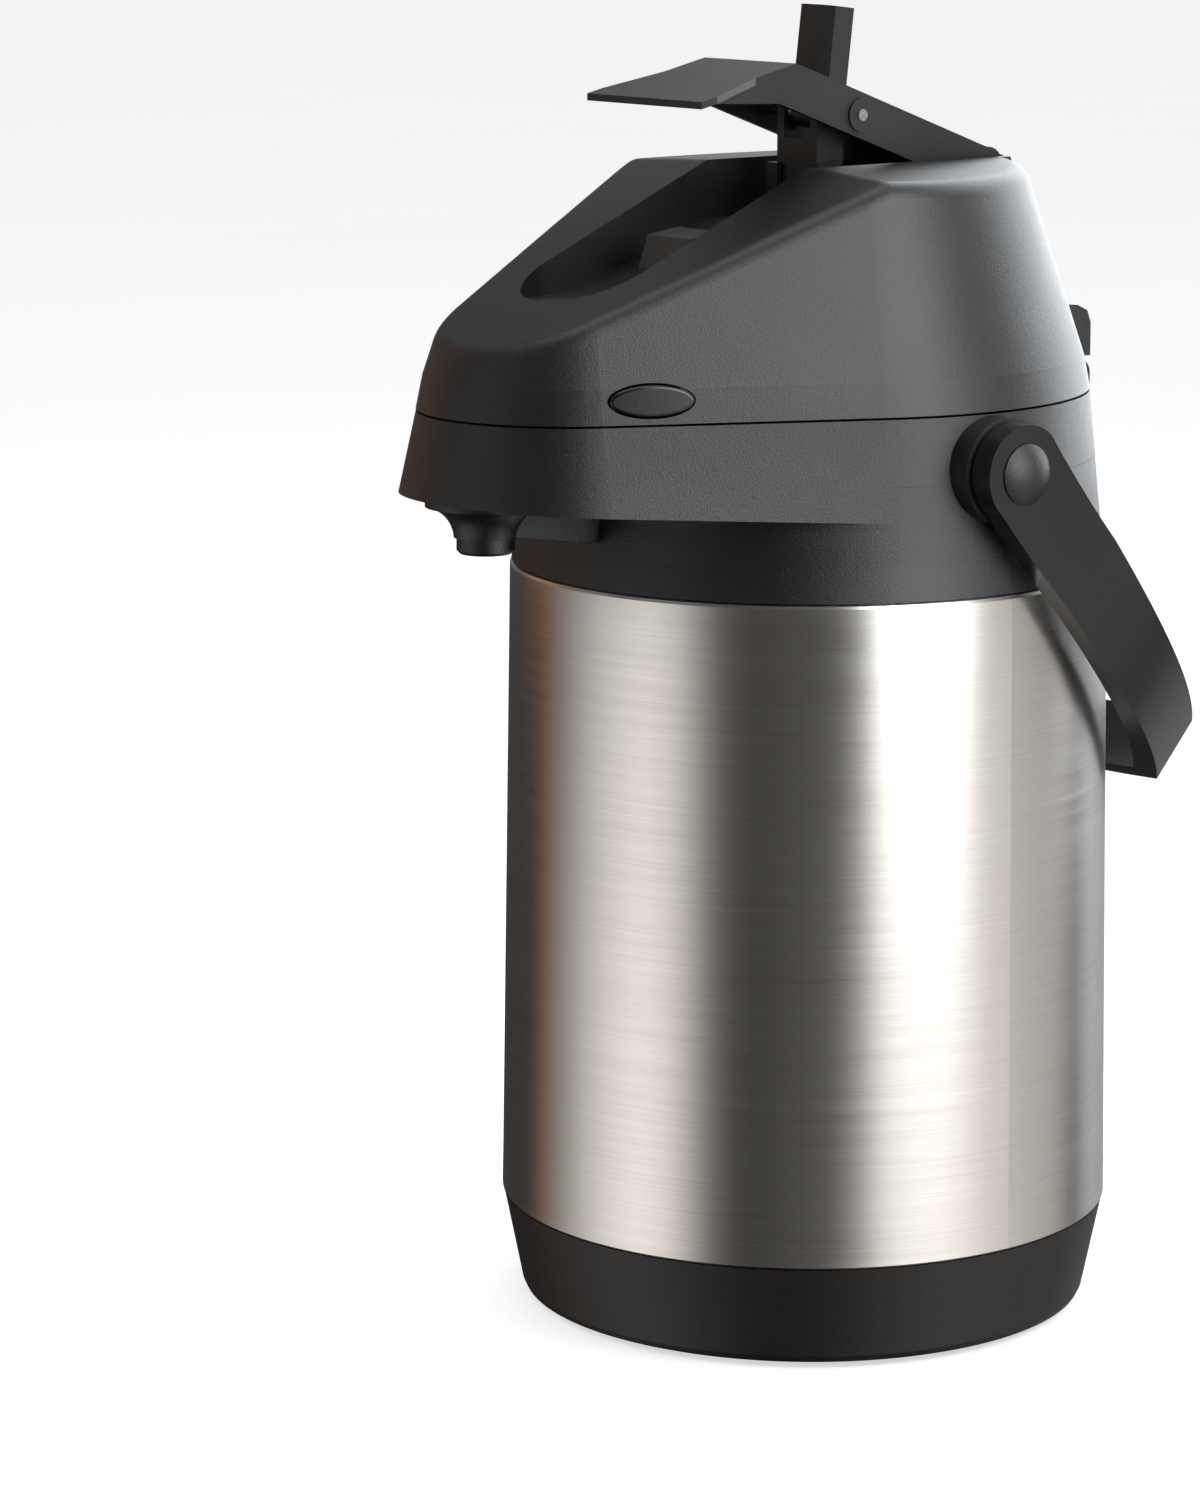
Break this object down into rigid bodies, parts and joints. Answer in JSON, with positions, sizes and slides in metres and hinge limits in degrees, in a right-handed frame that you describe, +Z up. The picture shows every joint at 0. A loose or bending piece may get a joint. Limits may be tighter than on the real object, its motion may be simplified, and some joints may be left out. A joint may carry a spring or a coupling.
{
  "type": "thermal coffee airpot",
  "caption": "Lever-action vacuum airpot with steel body, hinged pump lid, spout nose, folding lock bar and swinging carrying bail.",
  "frame": {"origin": "centre of the foot disc's underside, on the flask's axis", "axes": "+Z up along the flask's axis, -Y towards the spout, +X along the handle's and hinges' axes"},
  "size_m": [0.1758, 0.223, 0.3385],
  "materials": {
    "rubber": "matt moulded rubber",
    "base_plastic": "matt brown-black plastic",
    "brushed_steel": "circumferential brushed",
    "plain_steel": "plain bright",
    "silicone": "soft satin",
    "black_plastic": "fine spark-eroded texture",
    "lid_plastic": "fine spark-eroded texture",
    "handle_plastic": "satin",
    "lever_plastic": "satin",
    "grey_plastic": "satin",
    "gloss_plastic": "polished",
    "clear_tube": "translucent food-grade plastic"
  },
  "bodies": {
    "flask": {"foot_disc": "rubber", "base_cup": "base_plastic", "outer_jacket": "brushed_steel", "jacket_base": "plain_steel", "vacuum_plug": "plain_steel", "inner_flask": "plain_steel", "mouth_seal": "silicone", "mouth_ring": "black_plastic", "dip_tube": "clear_tube", "tube_sleeve": "silicone", "delivery_tube": "clear_tube", "spout_nozzle": "black_plastic", "collar": "black_plastic", "handle_stud_right": "black_plastic", "handle_stud_left": "black_plastic", "handle_washers": "plain_steel", "hinge_base": "black_plastic", "lid_hinge_pin": "plain_steel"},
    "handle": {"carry_handle": "handle_plastic"},
    "lid": {"lid_shell": "lid_plastic", "lid_plate": "black_plastic", "lid_screws": "plain_steel", "lid_gasket": "silicone", "hinge_cover": "black_plastic", "lever_hinge_pin": "plain_steel", "rod_guide": "black_plastic", "bellows": "silicone", "return_spring": "plain_steel", "button_spring_right": "plain_steel", "button_spring_left": "plain_steel"},
    "lever": {"lever": "lever_plastic", "cross_pin": "plain_steel"},
    "pump": {"pump_rod": "black_plastic", "piston": "black_plastic", "air_valve": "silicone"},
    "lock": {"lock_bar": "lever_plastic"},
    "latch": {"latch_slider": "grey_plastic", "latch_keeper": "grey_plastic"},
    "button_right": {"release_button_right": "gloss_plastic"},
    "button_left": {"release_button_left": "gloss_plastic"}
  },
  "joints": [
    {"name": "handle_swing", "type": "hinge", "parent": "flask", "child": "handle", "pos_m": [0, -0.003, 0.2273], "axis": [1, 0, 0], "range_deg": [0, 200]},
    {"name": "lid_hinge", "type": "hinge", "parent": "flask", "child": "lid", "pos_m": [0, 0.0772, 0.24], "axis": [-1, 0, 0], "range_deg": [0, 95]},
    {"name": "lever_pivot", "type": "hinge", "parent": "lid", "child": "lever", "pos_m": [0, 0.045, 0.296], "axis": [1, 0, 0], "range_deg": [0, 18], "stiffness_Nm_per_rad": 1.5, "springref_deg": -20.05},
    {"name": "pump_slide", "type": "slide", "parent": "lid", "child": "pump", "axis": [0, 0, -1], "range_m": [0, 0.0145], "deforming": ["bellows", "return_spring"]},
    {"name": "lock_fold", "type": "hinge", "parent": "lever", "child": "lock", "pos_m": [0, 0.001, 0.3114], "axis": [-1, 0, 0], "range_deg": [0, 103]},
    {"name": "latch_slide", "type": "slide", "parent": "lid", "child": "latch", "axis": [0, 0.9377, 0.3473], "range_m": [0, 0.004]},
    {"name": "button_right_push", "type": "slide", "parent": "lid", "child": "button_right", "axis": [-0.9008, 0.4342, 0], "range_m": [0, 0.003], "stiffness_N_per_m": 300, "springref_m": -0.002},
    {"name": "button_left_push", "type": "slide", "parent": "lid", "child": "button_left", "axis": [0.9008, 0.4342, 0], "range_m": [0, 0.003], "stiffness_N_per_m": 300, "springref_m": -0.002}
  ],
  "couplings": [
    {"joint": "pump_slide", "follows": "lever_pivot", "m_per_rad": 0.04568}
  ]
}
